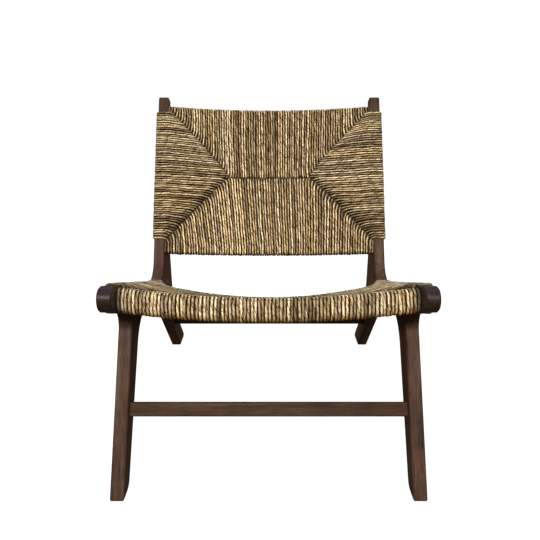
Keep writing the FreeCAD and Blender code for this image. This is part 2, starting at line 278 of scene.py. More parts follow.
def resample(path):
    """Points along a polyline, closer together in its bends and near its ends."""
    along = distances(path)
    fine = np.linspace(0, along[-1], max(FEWEST_SAMPLES, int(along[-1])))
    points = np.stack([np.interp(fine, along, path[:, k]) for k in range(path.shape[1])], axis=1)
    way = np.gradient(points, axis=0)
    turning = np.linalg.norm(np.gradient(way, axis=0), axis=1)
    bent = np.convolve(turning, np.ones(BEND_SPREAD), "same") > BEND_LIMIT
    near_end = np.minimum(fine, fine[-1] - fine) < END_REACH
    density = np.where(bent | near_end, 1 / BENT_STEP, 1 / STRAIGHT_STEP)
    marks = np.concatenate([[0], np.cumsum((density[1:] + density[:-1]) / 2 * np.diff(fine))])
    count = max(FEWEST_STEPS, int(round(marks[-1])))
    at = np.interp(np.linspace(0, marks[-1], count + 1), marks, fine)
    return np.stack([np.interp(at, along, path[:, k]) for k in range(path.shape[1])], axis=1), at


def smooth_noise(rng, along, wavelength, amplitude):
    """A gentle random wander along a strand."""
    knots = max(FEWEST_KNOTS, int(along[-1] / wavelength) + 3)
    values = rng.normal(0, amplitude, knots)
    place = along / along[-1] * (knots - 1)
    left = np.clip(place.astype(int), 0, knots - 2)
    share = place - left
    share = share * share * (3 - 2 * share)
    return values[left] * (1 - share) + values[left + 1] * share


def near_ends(along, reach):
    """0 along a strand, rising to 1 over the reach before each end."""
    near = np.minimum(along, along[-1] - along)
    return np.clip(1 - near / reach, 0, 1) ** 2


# Strand meshes: two plies twisted to the left. LAY is the length of a turn in millimetres, PLUMP and
# THICK_RANGE scale the thickness, and a wander is a wavelength and an amplitude. A random start within
# RUN_RANGE gives each strand its own stretch of the noise.
SIDES = 10
RING = np.arange(SIDES) * 2 * math.pi / SIDES
LAY = 64.0
LAY_RANGE = (0.8, 1.3)
TWIST = -1
TWIST_WANDER = (45.0, 3.0)
GROOVE_SHARE = 0.20
SWELL_POWER = 1.4
PLUMP = 1.12
THICK_RANGE = (0.90, 1.07)
THICK_WANDER = (24.0, 0.06)
TIP_SHARE = 0.35
RUN_RANGE = 9000.0

# Flanks without a neighbour, where the painted shade between strands is lifted: where they start round the
# strand, and the least that their colour rises
BARE_FROM = 0.1
BARE_RISE = 0.9

# Colours of the leaf, how often each occurs, and how a ply mixes the strand's tone, its own and a slow drift
PALETTE = np.array([
    (0.94, 0.83, 0.58),
    (0.88, 0.71, 0.40),
    (0.66, 0.52, 0.35),
    (0.46, 0.335, 0.150),
    (0.32, 0.252, 0.165),
    (0.185, 0.120, 0.052),
    (0.075, 0.041, 0.015),
])
PALETTE_SHARES = np.array([0.13, 0.14, 0.17, 0.16, 0.16, 0.15, 0.09])
BASE_SHARE = 0.58
OWN_SHARE = 0.20
DRIFT_LENGTH = 75.0


def leaf_colours(rng, count=None):
    """One colour of the leaf, or as many as asked for."""
    return PALETTE[rng.choice(len(PALETTE), p=PALETTE_SHARES, size=count)]


def ply_colour(rng, base, along):
    """Colour of one ply along a strand: the strand's tone, the ply's own, and a drift as leaf is added."""
    own = leaf_colours(rng)
    knots = max(2, int(along[-1] / DRIFT_LENGTH) + 2)
    others = leaf_colours(rng, knots)
    at = np.linspace(0, along[-1], knots)
    drift = np.stack([np.interp(along, at, others[:, k]) for k in range(3)], axis=1)
    return BASE_SHARE * base + OWN_SHARE * own + (1 - BASE_SHARE - OWN_SHARE) * drift


def put(name, data):
    """A new object in the scene."""
    made = bpy.data.objects.new(name, data)
    bpy.context.scene.collection.objects.link(made)
    return made


def smooth_surface(name, verts, faces):
    """A new object with a smoothly shaded mesh of points in metres."""
    mesh = bpy.data.meshes.new(name)
    mesh.from_pydata(verts, [], faces)
    mesh.update()
    mesh.polygons.foreach_set("use_smooth", np.ones(len(faces), bool))
    return put(name, mesh)


class Cords:
    """Gathers strands into one mesh."""

    def __init__(self):
        self.verts = []
        self.quads = []
        self.caps = []
        self.tones = []
        self.second_tones = []
        self.fibres = []
        self.runs = []
        self.count = 0

    def add(self, path, outward, half_width, softness, gain, rng, bare=None):
        """Adds a closed strand along points in mm, with the unit normals that lead away from the panel.

        A lower softness leaves narrower flanks darkened by painted shade; gain scales the colour; bare is
        the direction in which the strand has no neighbour, where the painted shade is lifted from its flank."""
        n = len(path)
        tangent = np.gradient(path, axis=0)
        tangent /= np.linalg.norm(tangent, axis=1)[:, None]
        across = np.cross(tangent, outward)
        across /= np.linalg.norm(across, axis=1)[:, None]
        up = np.cross(across, tangent)
        along = distances(path)
        lay = LAY * rng.uniform(*LAY_RANGE)
        wander = smooth_noise(rng, along, *TWIST_WANDER)
        turn = rng.uniform(0, 2 * math.pi) + TWIST * 2 * math.pi * (along + wander) / lay
        thick = rng.uniform(*THICK_RANGE) * (1 + smooth_noise(rng, along, *THICK_WANDER))
        thick[0] *= TIP_SHARE
        thick[-1] *= TIP_SHARE
        psi = RING[None, :] - turn[:, None]
        swell = 1 - GROOVE_SHARE * (1 - np.abs(np.cos(psi))) ** SWELL_POWER
        tall = np.cos(RING)[None, :] * swell * CORD * PLUMP * thick[:, None]
        wide = np.sin(RING)[None, :] * swell * half_width * thick[:, None]
        rings = path[:, None, :] + up[:, None, :] * tall[:, :, None]
        rings = rings + across[:, None, :] * wide[:, :, None]
        self.verts.append(rings.reshape(-1, 3))
        base = leaf_colours(rng)
        first = ply_colour(rng, base, along) * gain
        second = ply_colour(rng, base, along) * gain
        self.tones.append(np.repeat(first, SIDES, axis=0))
        self.second_tones.append(np.repeat(second, SIDES, axis=0))
        # Painted shade between strands: rise darkens the flanks towards each neighbour, and a bare flank
        # keeps at least BARE_RISE
        rise = np.broadcast_to(np.clip(np.cos(RING), 0, 1)[None, :] ** softness, psi.shape)
        if bare is not None:
            facing = np.sign(across @ bare)[:, None] * np.sin(RING)[None, :]
            rise = np.where(facing > BARE_FROM, np.maximum(rise, BARE_RISE), rise)
        self.fibres.append(np.stack([np.cos(psi), np.sin(psi), rise], axis=-1).reshape(-1, 3))
        self.runs.append(np.repeat(along + rng.uniform(0, RUN_RANGE), SIDES))
        starts = self.count + np.arange(n - 1)[:, None] * SIDES
        corner = starts + np.arange(SIDES)[None, :]
        beside = starts + (np.arange(SIDES)[None, :] + 1) % SIDES
        quads = np.stack([corner, beside, beside + SIDES, corner + SIDES], axis=-1)
        self.quads.append(quads.reshape(-1, 4))
        self.caps.append(self.count + np.arange(SIDES)[::-1])
        self.caps.append(self.count + (n - 1) * SIDES + np.arange(SIDES))
        self.count += n * SIDES

    def build(self, name, material):
        """Makes one smooth object of the strands, with the attributes that the cord's material reads."""
        verts = np.concatenate(self.verts) * MM
        quads = np.concatenate(self.quads)
        caps = np.array(self.caps)
        mesh = bpy.data.meshes.new(name)
        mesh.vertices.add(len(verts))
        mesh.vertices.foreach_set("co", verts.ravel())
        loops = np.concatenate([quads.ravel(), caps.ravel()])
        totals = np.concatenate([np.full(len(quads), 4), np.full(len(caps), SIDES)])
        mesh.loops.add(len(loops))
        mesh.loops.foreach_set("vertex_index", loops)
        mesh.polygons.add(len(totals))
        mesh.polygons.foreach_set("loop_start", np.concatenate([[0], np.cumsum(totals)[:-1]]))
        mesh.polygons.foreach_set("loop_total", totals)
        mesh.update(calc_edges=True)
        mesh.validate()
        for label, tones in (("tone", self.tones), ("tone_two", self.second_tones)):
            rgb = np.concatenate(tones)
            rgba = np.concatenate([rgb, np.ones((len(rgb), 1))], axis=1)
            colours = mesh.color_attributes.new(label, "FLOAT_COLOR", "POINT")
            colours.data.foreach_set("color", rgba.ravel())
        fibre = mesh.attributes.new("fibre", "FLOAT_VECTOR", "POINT")
        fibre.data.foreach_set("vector", np.concatenate(self.fibres).ravel())
        run = mesh.attributes.new("run", "FLOAT", "POINT")
        run.data.foreach_set("value", np.concatenate(self.runs))
        mesh.polygons.foreach_set("use_smooth", np.ones(len(totals), bool))
        mesh.materials.append(material)
        return put(name, mesh)


# Weaving: half of a strand's width as a share of the pitch, then in millimetres how far its ends stray, its
# wanders, the reach over which its ends sink and bend outwards, and the rounding of the planks' edges. Where
# a strand stops and how it leans depend on each other, and settle in a few rounds.
FILL = 0.53
STRAIGHT_STRAY = 1.6
SIDE_STRAY = 1.2
LIFT_WANDER = (34.0, 0.22)
STRAIGHT_WANDER = (40.0, 0.55)
SIDE_WANDER = (40.0, 0.5)
STRAIGHT_DIP_REACH = 4.0
SIDE_DIP_REACH = 6.0
HOOK_REACH = 20.0
HOOK_FADE = 45.0
SIDE_HOOK = (5.0, 1.5)
SIDE_HOOK_REACH = 26.0
ARRIS = 2.4
LEAN_ROUNDS = 6

# The drift that neighbouring strands share: its grid, its amplitude, and how steeply it rises from the edges
DRIFT_GRID = (7, 5)
DRIFT_AMPLITUDE = 1.4
DRIFT_RISE = 8

# Painted shade: shares of the colour left where a strand turns downwards
UNDERSIDE_SHADE_SHARES = (0.70, 0.56, 0.34)

# Painted shade where strands sink into a mitre: how they darken towards it, as reach and strength for the
# two ends of a panel
STRAIGHT_SHADE = ((12.0, 0.35), (12.0, 0.32))
SIDE_SHADE = ((46.0, 0.65), (20.0, 0.40))

# Gains of the straight strands nearest to a plank, which sit deep in its shade
EDGE_GAINS = (0.30, 0.62, 0.85)


class Drift:
    """A slow sideways wander that neighbouring strands share."""

    def __init__(self, rng):
        self.grid = rng.normal(0, DRIFT_AMPLITUDE, DRIFT_GRID)

    def at(self, across, along):
        """Offset at shares from 0 to 1 across the panel and along the strands."""
        rows, columns = self.grid.shape
        row = across * (rows - 1)
        low = min(int(row), rows - 2)
        line = self.grid[low] * (low + 1 - row) + self.grid[low + 1] * (row - low)
        fade = min(1.0, DRIFT_RISE * across, DRIFT_RISE * (1 - across))
        return np.interp(along, np.linspace(0, 1, columns), line) * fade


def edge_gain(gains, nearest, half_width):
    """Gain of a strand whose centre line is this far from the edge of its band."""
    place = int(nearest * FILL / half_width)
    return gains[place] if place < len(gains) else 1.0


def underside(panel, outward):
    """Share of each colour channel that painted shade leaves along a strand, by how far its outward normal
    points up.
    """
    facing = outward[:, 2]
    return np.stack([np.interp(facing, panel["underside"], (low, 1.0)) for low in UNDERSIDE_SHADE_SHARES], axis=1)


def directions(flat):
    """Unit directions along a path in a plane."""
    slope = np.gradient(flat, axis=0)
    return slope / np.linalg.norm(slope, axis=1)[:, None]


def straight_strand(cords, panel, x, end, half_width, drift, rng):
    """One turn of cord over a cross rail, from the mitre on the face to the mitre on the reverse."""
    inward = 1 if end == 0 else -1
    rail = panel["rails"][end]
    lean = np.interp(x, *panel["lean"][end])
    hook = min(panel["hook"][end], INNER - abs(x) - MARGIN)
    hook *= np.clip(1 - (APEX - abs(x)) / HOOK_FADE, 0, 1)
    stop = rail
    for _ in range(LEAN_ROUNDS):
        shifted = x + lean * (stop - rail) * inward
        stop = mitre_v(panel, min(abs(shifted) + hook, INNER), end)
    stop -= inward * rng.uniform(0.0, STRAIGHT_STRAY)
    back_stop = mitre_v(panel, min(abs(x) + hook, INNER), end) - inward * rng.uniform(0.0, STRAIGHT_STRAY)
    beyond = rail - inward * (panel["half_v"][end] + CORD)
    corners = [
        (stop, layer(panel, x, stop, 1)),
        (beyond, layer(panel, x, rail, 1)),
        (beyond, layer(panel, x, rail, -1)),
        (back_stop, layer(panel, x, back_stop, -1)),
    ]
    flat, along = resample(rounded(corners, panel["roll"][end]))
    slope = directions(flat)
    out = np.stack([slope[:, 1], -slope[:, 0]], axis=1) * inward
    lift = smooth_noise(rng, along, *LIFT_WANDER)
    lift -= near_ends(along, STRAIGHT_DIP_REACH) * panel["straight_dip"][end]
    away = np.clip((flat[:, 0] - rail) * inward, 0, None)
    xs = x + np.where(along < along[-1] / 2, lean * away, 0)
    xs = xs + math.copysign(hook, x) * near_ends(along, HOOK_REACH)
    xs = xs + drift.at((x + INNER) / (2 * INNER), along / along[-1])
    xs = xs + smooth_noise(rng, along, *STRAIGHT_WANDER)
    flat = flat + out * lift[:, None]
    path = panel["place"](xs, flat[:, 0], flat[:, 1]) / MM
    outward = panel["place"](xs, flat[:, 0] + out[:, 0], flat[:, 1] + out[:, 1]) / MM - path
    # Painted shade towards the mitre, where the strand sinks, and next to a plank
    reach, strength = STRAIGHT_SHADE[end]
    # Painted shade where the strand faces down, darker and warmer on its underside
    gain = underside(panel, outward) * (1 - strength * near_ends(along, reach))[:, None]
    gain = gain * edge_gain(EDGE_GAINS, INNER - abs(x), half_width) * panel["gain"][end]
    outermost = abs(x) > INNER - 2 * half_width
    bare = np.array([x, 0, 0]) if outermost else None
    cords.add(path, outward, half_width, panel["softness"], gain, rng, bare)


def side_strand(cords, panel, v, hand, half_width, drift, rng):
    """One turn of cord round a side plank, from the mitre on the face to the mitre on the reverse."""
    end = 0 if v < middle_of(panel) else 1
    low, high = panel["sides"]
    hook = min(SIDE_HOOK[end], v - low)
    stop = mitre_x(panel, v - hook) - panel["side_overlap"] + rng.uniform(-SIDE_STRAY, SIDE_STRAY)
    stop = min(stop, EDGE_X - MARGIN)
    top = panel["plank_top"](v) + CORD
    bottom = panel["plank_bottom"](v) - CORD
    outer = OUTER + CORD
    corners = [
        (stop, layer(panel, stop, v, 1)),
        (EDGE_X, top),
        (outer, top),
        (outer, bottom),
        (EDGE_X, bottom),
        (stop, layer(panel, stop, v, -1)),
    ]
    flat, along = resample(rounded(corners, CORD + ARRIS))
    slope = directions(flat)
    out = np.stack([-slope[:, 1], slope[:, 0]], axis=1)
    lift = np.abs(smooth_noise(rng, along, *LIFT_WANDER))
    lift -= near_ends(along, SIDE_DIP_REACH) * panel["side_dip"][end]
    vs = v + drift.at((v - low) / (high - low), along / along[-1]) + smooth_noise(rng, along, *SIDE_WANDER)
    vs = vs - np.where(along < along[-1] / 2, hook, 0) * near_ends(along, SIDE_HOOK_REACH)
    flat = flat + out * lift[:, None]
    path = panel["place"](hand * flat[:, 0], vs, flat[:, 1]) / MM
    outward = panel["place"](hand * (flat[:, 0] + out[:, 0]), vs, flat[:, 1] + out[:, 1]) / MM - path
    bare = None
    if min(v - low, high - v) < 2 * half_width:
        origin, ahead = panel["place"](np.zeros(2), np.array([0.0, 1.0]), np.zeros(2))
        bare = (ahead - origin) * (-1 if v - low < high - v else 1)
    # Painted shade towards the mitre, where the strand sinks
    reach, strength = SIDE_SHADE[end]
    gain = panel["side_gain"] * (1 - strength * near_ends(along, reach))[:, None]
    gain = gain * edge_gain(panel["ring_gains"], v - low, half_width)
    cords.add(path, outward, half_width, panel["softness"], gain, rng, bare)


def weave(panel, material, rng):
    """The strands of a panel, as one piece for each of its four triangles."""
    pieces = []
    for end, label in ((0, "lower"), (1, "upper")):
        corner_pitch = (INNER - APEX) / panel["corner_strands"][end]
        middle_pitch = 2 * APEX / panel["middle_strands"][end]
        cords = Cords()
        drift = Drift(rng)
        for hand in (-1, 1):
            for index in range(panel["corner_strands"][end]):
                x = hand * (INNER - corner_pitch * (index + 0.5))
                straight_strand(cords, panel, x, end, corner_pitch * FILL, drift, rng)
        for index in range(panel["middle_strands"][end]):
            x = -APEX + middle_pitch * (index + 0.5)
            straight_strand(cords, panel, x, end, middle_pitch * FILL, drift, rng)
        pieces.append(cords.build(f"{panel['name']}_strands_{label}", material))
    side_pitch = (panel["sides"][1] - panel["sides"][0]) / panel["side_strands"]
    for hand, label in ((-1, "left"), (1, "right")):
        cords = Cords()
        drift = Drift(rng)
        for index in range(panel["side_strands"]):
            v = panel["sides"][0] + side_pitch * (index + 0.5)
            side_strand(cords, panel, v, hand, side_pitch * FILL, drift, rng)
        pieces.append(cords.build(f"{panel['name']}_strands_{label}", material))
    return pieces


# Stuffing in millimetres: its depth under the cord, its gaps to rails and planks, its least thickness, and
# its rows and columns of points
SINK = 3.0
RAIL_GAP = 0.5
PLANK_GAP = 0.6
THINNEST = 1.0
ROWS = 25
COLUMNS = 41


def face_level(panel, x, v, side):
    """Rise of the cord's centre line anywhere on the panel."""
    limit = mitre_x(panel, v)
    if abs(x) <= limit:
        return float(layer(panel, abs(x), v, side))
    inner = float(layer(panel, limit, v, side))
    plank = panel["plank_top"](v) + CORD if side > 0 else panel["plank_bottom"](v) - CORD
    share = (abs(x) - limit) / max(EDGE_X - limit, MARGIN)
    return inner + (plank - inner) * share


def stuffing(panel, material):
    """The filling between the two layers of cord, which shows only in the gaps between strands, where its
    near-black colour stands in as painted shade.
    """
    size = ROWS * COLUMNS
    first = panel["rails"][0] + panel["half_v"][0] + RAIL_GAP
    last = panel["rails"][1] - panel["half_v"][1] - RAIL_GAP
    reach = INNER - PLANK_GAP
    verts = []
    for side in (1, -1):
        for v in np.linspace(first, last, ROWS):
            inside = min(max(v, panel["sides"][0] + MARGIN), panel["sides"][1] - MARGIN)
            for x in np.linspace(-reach, reach, COLUMNS):
                bounded = min(max(x, -EDGE_X), EDGE_X)
                level = face_level(panel, bounded, inside, side) - side * SINK
                if side < 0:
                    level = min(level, verts[-size][2] - THINNEST)
                verts.append((x, v, level))
    faces = []
    for start in (0, size):
        for row in range(ROWS - 1):
            for column in range(COLUMNS - 1):
                a = start + row * COLUMNS + column
                quad = (a, a + 1, a + COLUMNS + 1, a + COLUMNS)
                faces.append(quad[::-1] if start else quad)
    rim = list(range(COLUMNS))
    rim += [row * COLUMNS + COLUMNS - 1 for row in range(1, ROWS)]
    rim += [(ROWS - 1) * COLUMNS + column for column in range(COLUMNS - 2, -1, -1)]
    rim += [row * COLUMNS for row in range(ROWS - 2, 0, -1)]
    for a, b in zip(rim, rim[1:] + rim[:1]):
        faces.append((b, a, a + size, b + size))
    x, v, level = np.array(verts).T
    placed = panel["place"](x, v, level)
    piece = smooth_surface(f"{panel['name']}_stuffing", [tuple(p) for p in placed], faces)
    piece.data.materials.append(material)
    return piece


# Shader nodes
def new_material(name):
    """A material, its nodes and its shader."""
    material = bpy.data.materials.new(name)
    material.use_nodes = True
    tree = material.node_tree
    return material, tree, tree.nodes["Principled BSDF"]


def add(tree, kind, **values):
    """A new node with its settings."""
    node = tree.nodes.new(kind)
    for key, value in values.items():
        setattr(node, key, value)
    return node


def set_values(node, values):
    """Sets the constants of a node's sockets by name."""
    for key, value in values.items():
        node.inputs[key].default_value = value


def attribute(tree, name, output):
    """A value that the mesh carries at its points."""
    return add(tree, "ShaderNodeAttribute", attribute_name=name).outputs[output]


def axes(tree, vector):
    """The outputs X, Y and Z of a vector."""
    node = add(tree, "ShaderNodeSeparateXYZ")
    tree.links.new(vector, node.inputs["Vector"])
    return node.outputs


def spread(tree, source, span, curve="LINEAR"):
    """Maps a value from one range to another; span is from low, from high, to low, to high."""
    node = add(tree, "ShaderNodeMapRange", interpolation_type=curve)
    tree.links.new(source, node.inputs["Value"])
    set_values(node, dict(zip(("From Min", "From Max", "To Min", "To Max"), span)))
    return node.outputs["Result"]


def times(tree, first, second):
    """Product of two values."""
    node = add(tree, "ShaderNodeMath", operation="MULTIPLY")
    tree.links.new(first, node.inputs[0])
    tree.links.new(second, node.inputs[1])
    return node.outputs["Value"]


def scaled(tree, colour, gain):
    """A colour times a value."""
    node = add(tree, "ShaderNodeVectorMath", operation="SCALE")
    tree.links.new(colour, node.inputs[0])
    tree.links.new(gain, node.inputs["Scale"])
    return node.outputs["Vector"]


# Places of the colour sockets on a mix node
MIX_A = 6
MIX_B = 7
MIX_OUT = 2


def mixed(tree, factor, first, second):
    """The first colour where the factor is 0, the second where it is 1."""
    node = add(tree, "ShaderNodeMix", data_type="RGBA")
    tree.links.new(factor, node.inputs["Factor"])
    tree.links.new(first, node.inputs[MIX_A])
    tree.links.new(second, node.inputs[MIX_B])
    return node.outputs[MIX_OUT]


def noise(tree, where, pattern):
    """Noise; pattern is its scale, detail, roughness and distortion."""
    node = add(tree, "ShaderNodeTexNoise")
    set_values(node, dict(zip(("Scale", "Detail", "Roughness", "Distortion"), pattern)))
    tree.links.new(where, node.inputs["Vector"])
    return node.outputs["Fac"]


def ramped(tree, source, colours):
    """A colour ramp through (position, colour) stops."""
    ramp = add(tree, "ShaderNodeValToRGB")
    stops = ramp.color_ramp.elements
    for _ in colours[2:]:
        stops.new(0.5)
    for stop, (position, colour) in zip(stops, colours):
        stop.position = position
        stop.color = (*colour, 1)
    tree.links.new(source, ramp.inputs["Fac"])
    return ramp.outputs["Color"]


def bumped(tree, shader, height, relief):
    """Raises a shader's surface by a height; relief holds the bump's distance and strength."""
    node = add(tree, "ShaderNodeBump")
    set_values(node, relief)
    tree.links.new(height, node.inputs["Height"])
    tree.links.new(node.outputs["Normal"], shader.inputs["Normal"])


# Cord material: noise patterns, and spans that map a value, as from low, from high, to low, to high
STREAKS = (3.6, 5.0, 0.65, 0.0)
BLOTCHES = (0.9, 2.0, 0.5, 0.0)
NICKS = (1.1, 2.0, 0.5, 0.0)
STREAK_RUN = (0.0, 10000.0, 0.0, 500.0)
NICK_RUN = (0.0, 10000.0, 0.0, 1250.0)
PLY_BLEND = (-0.12, 0.12, 0.0, 1.0)
# GROOVE_SHADE and FLANK_SHADE give the painted shade in the grooves between plies and on the flanks between
# strands
GROOVE_SHADE = (0.0, 0.30, 0.04, 1.0)
FLANK_SHADE = (0.66, 0.995, 0.0, 1.0)
STREAK_GAIN = (0.30, 0.70, 0.39, 1.56)
BLOTCH_GAIN = (0.3, 0.7, 0.78, 1.2)
NICK_GAIN = (0.36, 0.48, 0.35, 1.0)
CORD_ROUGHNESS = (0.3, 0.7, 0.62, 0.46)
CORD_BUMP = {"Distance": 0.0006, "Strength": 0.5}
CORD_SHEEN = {"Specular IOR Level": 0.18, "Specular Tint": (1.0, 0.88, 0.68, 1)}

# Painted shade: how the cord's colour falls off in its grooves and towards its gaps, with the power of each
# channel, and the least share left
GAP_SHADE_POWERS = (0.95, 1.45, 2.5)
DARKEST_SHADE_SHARE = 0.012


def on_ply(tree, ply, run, span):
    """Coordinates across a ply and, mapped by the span, along it."""
    node = add(tree, "ShaderNodeCombineXYZ")
    tree.links.new(ply["X"], node.inputs["X"])
    tree.links.new(ply["Y"], node.inputs["Y"])
    tree.links.new(spread(tree, run, span), node.inputs["Z"])
    return node.outputs["Vector"]


def cord_material():
    """Twisted leaf cord: streaked fibres, with painted shade in the grooves between plies and on the flanks
    between strands.
    """
    material, tree, shader = new_material("twisted_cord")
    links = tree.links
    run = attribute(tree, "run", "Fac")
    ply = axes(tree, attribute(tree, "fibre", "Vector"))
    own_side = spread(tree, ply["X"], PLY_BLEND, "SMOOTHSTEP")
    tone = mixed(tree, own_side, attribute(tree, "tone_two", "Color"), attribute(tree, "tone", "Color"))
    # Painted shade: dark in the grooves between plies and on the flanks where strands meet, falling off
    # towards the gaps
    from_groove = add(tree, "ShaderNodeMath", operation="ABSOLUTE")
    links.new(ply["X"], from_groove.inputs[0])
    painted_groove_shade = spread(tree, from_groove.outputs["Value"], GROOVE_SHADE, "SMOOTHSTEP")
    painted_flank_shade = spread(tree, ply["Z"], FLANK_SHADE, "SMOOTHSTEP")
    depth = times(tree, painted_groove_shade, painted_flank_shade)
    where = on_ply(tree, ply, run, STREAK_RUN)
    streaks = noise(tree, where, STREAKS)
    streak_gain = spread(tree, streaks, STREAK_GAIN)
    blotch_gain = spread(tree, noise(tree, where, BLOTCHES), BLOTCH_GAIN)
    nicks = noise(tree, on_ply(tree, ply, run, NICK_RUN), NICKS)
    nick_gain = spread(tree, nicks, NICK_GAIN, "SMOOTHSTEP")
    surface_gain = times(tree, times(tree, streak_gain, blotch_gain), nick_gain)
    painted_gap_shade = add(tree, "ShaderNodeCombineXYZ")
    for channel, power in zip("XYZ", GAP_SHADE_POWERS):
        fall = add(tree, "ShaderNodeMath", operation="POWER")
        fall.inputs[1].default_value = power
        links.new(depth, fall.inputs[0])
        left = spread(tree, fall.outputs["Value"], (0.0, 1.0, DARKEST_SHADE_SHARE, 1.0))
        links.new(left, painted_gap_shade.inputs[channel])
    shaded = add(tree, "ShaderNodeVectorMath", operation="MULTIPLY")
    links.new(scaled(tree, tone, surface_gain), shaded.inputs[0])
    links.new(painted_gap_shade.outputs["Vector"], shaded.inputs[1])
    links.new(shaded.outputs["Vector"], shader.inputs["Base Color"])
    links.new(spread(tree, streaks, CORD_ROUGHNESS), shader.inputs["Roughness"])
    bumped(tree, shader, streaks, CORD_BUMP)
    set_values(shader, CORD_SHEEN)
    return material


# Stuffing material, near black as painted shade in the gaps between strands
SPECKS = (320.0, 2.0, 0.5, 0.0)
STUFFING_SHADE_STOPS = ((0.0, (0.010, 0.006, 0.003)), (1.0, (0.040, 0.025, 0.013)))
STUFFING_ROUGHNESS = 0.95


def gap_shade_stuffing_material():
    """Dark brown, dry filling, dark enough to be painted shade in the gaps between strands."""
    material, tree, shader = new_material("stuffing")
    where = add(tree, "ShaderNodeTexCoord").outputs["Object"]
    colour = ramped(tree, noise(tree, where, SPECKS), STUFFING_SHADE_STOPS)
    tree.links.new(colour, shader.inputs["Base Color"])
    set_values(shader, {"Roughness": STUFFING_ROUGHNESS})
    return material


# Wood materials: noise patterns and spans, as for the cord
GRAIN_SQUEEZE = (1.0, 0.05, 1.0)
FIGURE = (95.0, 6.0, 0.6, 0.6)
PORES = (620.0, 3.0, 0.5, 0.0)
CLOUD = (14.0, 2.0, 0.5, 0.0)
CLOUD_GAIN = (0.3, 0.7, 0.78, 1.22)
PORE_GAIN = (0.36, 0.5, 0.55, 1.0)
FIGURE_RANGE = (0.3, 0.7)
ROUGHER = 0.08
SMOOTHER = 0.05
WOOD_BUMP = {"Distance": 0.0004, "Strength": 0.35}
WOOD_TINT = (1.0, 0.86, 0.76, 1)

# Where the darker front of a side rail gives way to the tone of the other planks
DARK_FRONT_Y = (NOSE_Y + 90.0) * MM
PLAIN_Y = (NOSE_Y + 250.0) * MM

# Stops of the wood's colours, from its dark to its pale lines
PLANK_STOPS = (
    (0.30, (0.036, 0.0175, 0.0098)),
    (0.50, (0.070, 0.0355, 0.0205)),
    (0.72, (0.108, 0.057, 0.033)),
)
STRETCHER_STOPS = (
    (0.30, (0.025, 0.0105, 0.0042)),
    (0.50, (0.045, 0.0200, 0.0080)),
    (0.72, (0.069, 0.0330, 0.0150)),
)
NOSE_STOPS = (
    (0.30, (0.012, 0.0065, 0.0045)),
    (0.50, (0.023, 0.0130, 0.0095)),
    (0.72, (0.038, 0.022, 0.016)),
)

# Woods, where rear_stops are the colours that the wood takes on behind its darker front
PLANK_WOOD = {"stops": PLANK_STOPS, "rough": 0.42, "gloss": 0.10}
STRETCHER_WOOD = {"stops": STRETCHER_STOPS, "rough": 0.42, "gloss": 0.10}
DARK_FRONT_WOOD = {"stops": NOSE_STOPS, "rear_stops": PLANK_STOPS, "rough": 0.28, "gloss": 0.28}
HIDDEN_WOOD = {"stops": STRETCHER_STOPS, "rough": 0.6, "gloss": 0.1}


def wood_material(name, grain, wood):
    """Hardwood whose grain runs across the chair, or at an angle above rearward in the side plane."""
    material, tree, shader = new_material(name)
    links = tree.links
    where = add(tree, "ShaderNodeTexCoord").outputs["Object"]
    rotation = (0.0, 0.0, math.radians(90)) if grain == "across" else (math.radians(-grain), 0.0, 0.0)
    turn = add(tree, "ShaderNodeMapping", vector_type="POINT")
    set_values(turn, {"Rotation": rotation})
    links.new(where, turn.inputs["Vector"])
    squeeze = add(tree, "ShaderNodeMapping", vector_type="POINT")
    set_values(squeeze, {"Scale": GRAIN_SQUEEZE})
    links.new(turn.outputs["Vector"], squeeze.inputs["Vector"])
    figure = noise(tree, squeeze.outputs["Vector"], FIGURE)
    pores = noise(tree, squeeze.outputs["Vector"], PORES)
    cloud = noise(tree, turn.outputs["Vector"], CLOUD)
    colour = ramped(tree, figure, wood["stops"])
    if "rear_stops" in wood:
        rearward = spread(tree, axes(tree, where)["Y"], (DARK_FRONT_Y, PLAIN_Y, 0.0, 1.0))
        colour = mixed(tree, rearward, colour, ramped(tree, figure, wood["rear_stops"]))
    shade = times(tree, spread(tree, cloud, CLOUD_GAIN), spread(tree, pores, PORE_GAIN))
    links.new(scaled(tree, colour, shade), shader.inputs["Base Color"])
    roughness = (*FIGURE_RANGE, wood["rough"] + ROUGHER, wood["rough"] - SMOOTHER)
    links.new(spread(tree, figure, roughness), shader.inputs["Roughness"])
    bumped(tree, shader, pores, WOOD_BUMP)
    set_values(shader, {"Specular IOR Level": wood["gloss"], "Specular Tint": WOOD_TINT})
    return material


# Wooden pieces: degrees of the grain above rearward in the side plane or across the chair, and the wood
SHOWN = {
    "seat_side_rail": (-SLOPE_DEGREES, DARK_FRONT_WOOD),
    "front_leg": (59.5, PLANK_WOOD),
    "rear_leg": (130.2, PLANK_WOOD),
    "back_post": (90 - RAKE_DEGREES, PLANK_WOOD),
    "front_stretcher": ("across", STRETCHER_WOOD),
    "rear_stretcher": ("across", STRETCHER_WOOD),
}
HIDDEN = ("seat_front_rail", "seat_rear_rail", "back_bottom_rail", "back_top_rail", "horn_dowels")
woods = {kind: wood_material(f"dark_wood_{kind}", grain, wood) for kind, (grain, wood) in SHOWN.items()}
hidden_wood = wood_material("hidden_wood", "across", HIDDEN_WOOD)

# Eased arrises in metres and degrees
WELD_DISTANCE = 0.00001
BEVEL_WIDTH = 0.0009
BEVEL_SEGMENTS = 2
BEVEL_ANGLE = 28


